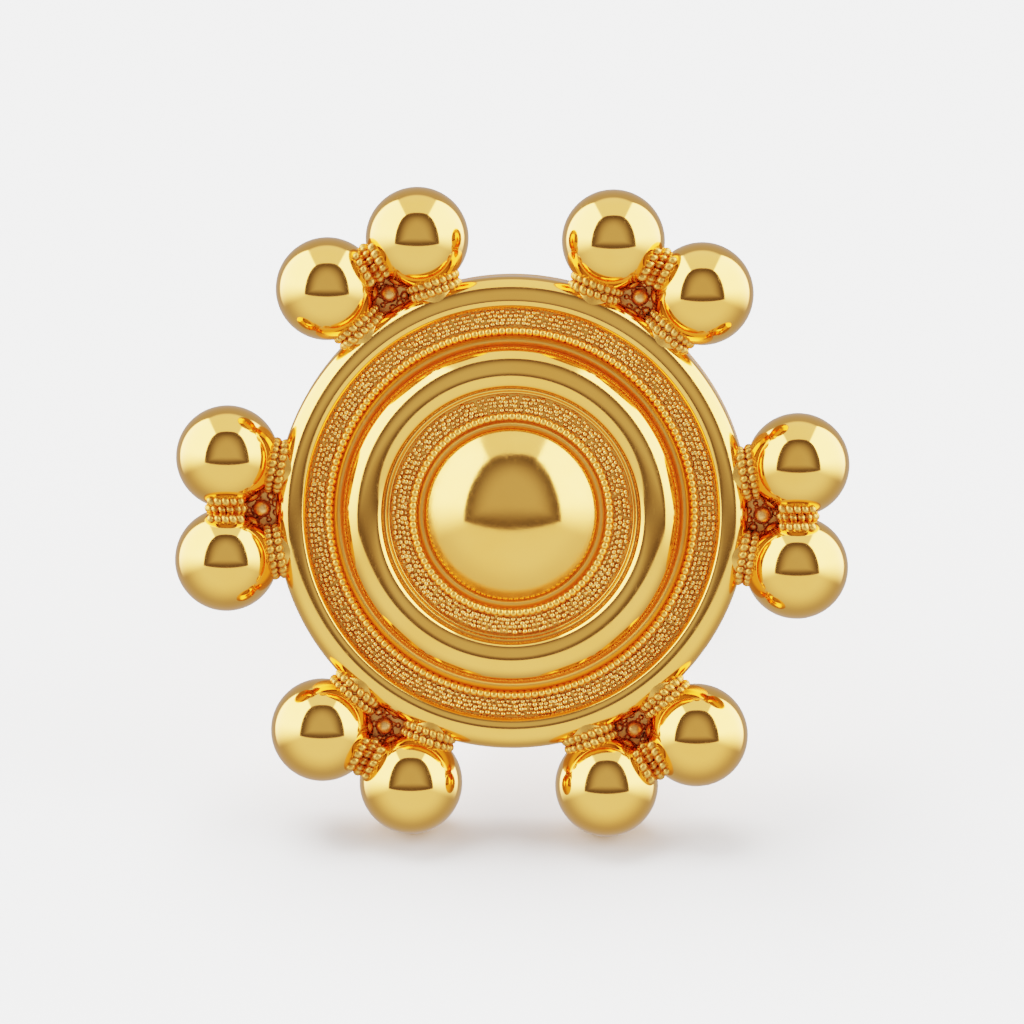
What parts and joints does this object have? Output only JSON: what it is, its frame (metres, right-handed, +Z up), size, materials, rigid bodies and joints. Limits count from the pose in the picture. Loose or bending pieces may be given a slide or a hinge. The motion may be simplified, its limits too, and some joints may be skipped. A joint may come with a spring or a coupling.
{
  "type": "stud earring",
  "caption": "Round gold stud earring: a stepped dome with polished and granulated rings, pairs of balls round the rim, an ear post and a friction nut.",
  "frame": {"origin": "on the surface that the stud rests on, under the middle of its bounding box; the stud leans back on its two lowest balls and the nut", "axes": "+Z up, +X to the wearer's left as the face is looked at, +Y backwards, away from the viewer; the face axis lies in the YZ plane and the face looks along -Y and upwards by the lean of 27.1 degrees"},
  "size_m": [0.0148, 0.0142, 0.0129],
  "materials": {
    "polished_gold": "polished",
    "nut_gold": "polished"
  },
  "bodies": {
    "root": {"rosette": "polished_gold", "ear_nut": "nut_gold"}
  },
  "joints": []
}
